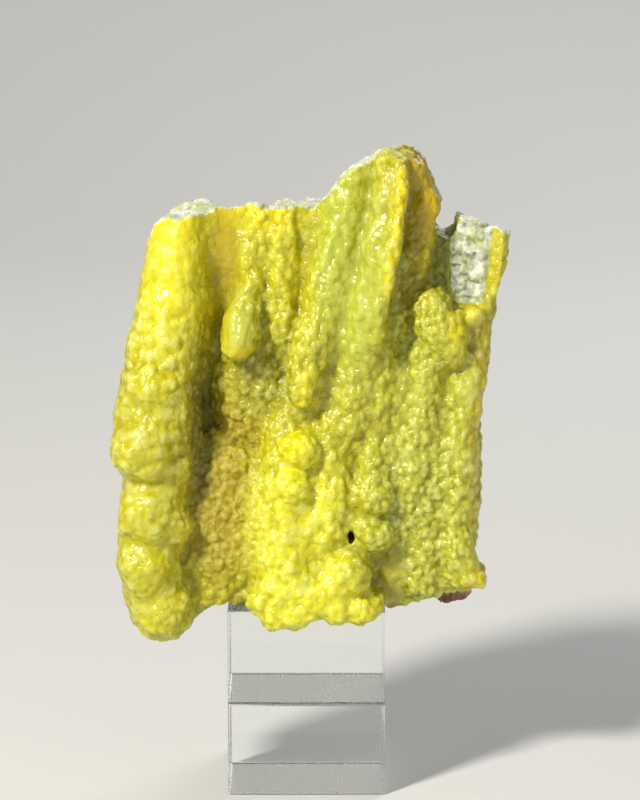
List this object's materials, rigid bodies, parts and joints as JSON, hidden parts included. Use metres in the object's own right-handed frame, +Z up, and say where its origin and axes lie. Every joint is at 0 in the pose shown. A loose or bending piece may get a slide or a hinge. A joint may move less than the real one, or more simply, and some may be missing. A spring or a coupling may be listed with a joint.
{
  "type": "mineral specimen on clear display blocks",
  "caption": "Yellow botryoidal smithsonite plate of fused columns and knobs, resting on a stack of clear acrylic display blocks.",
  "frame": {"origin": "centre of the lower block's underside", "axes": "+Z up, the stone's grown front faces -Y, +X is to the right as seen from the front"},
  "size_m": [0.076, 0.0399, 0.1256],
  "materials": {
    "yellow_smithsonite": "natural botryoidal growth with a waxy to glassy lustre; broken rock at the top and back",
    "clear_acrylic": "clear, polished faces with small chamfers"
  },
  "bodies": {
    "root": {"smithsonite": "yellow_smithsonite", "upper_clear_block": "clear_acrylic", "lower_clear_block": "clear_acrylic"}
  },
  "joints": []
}
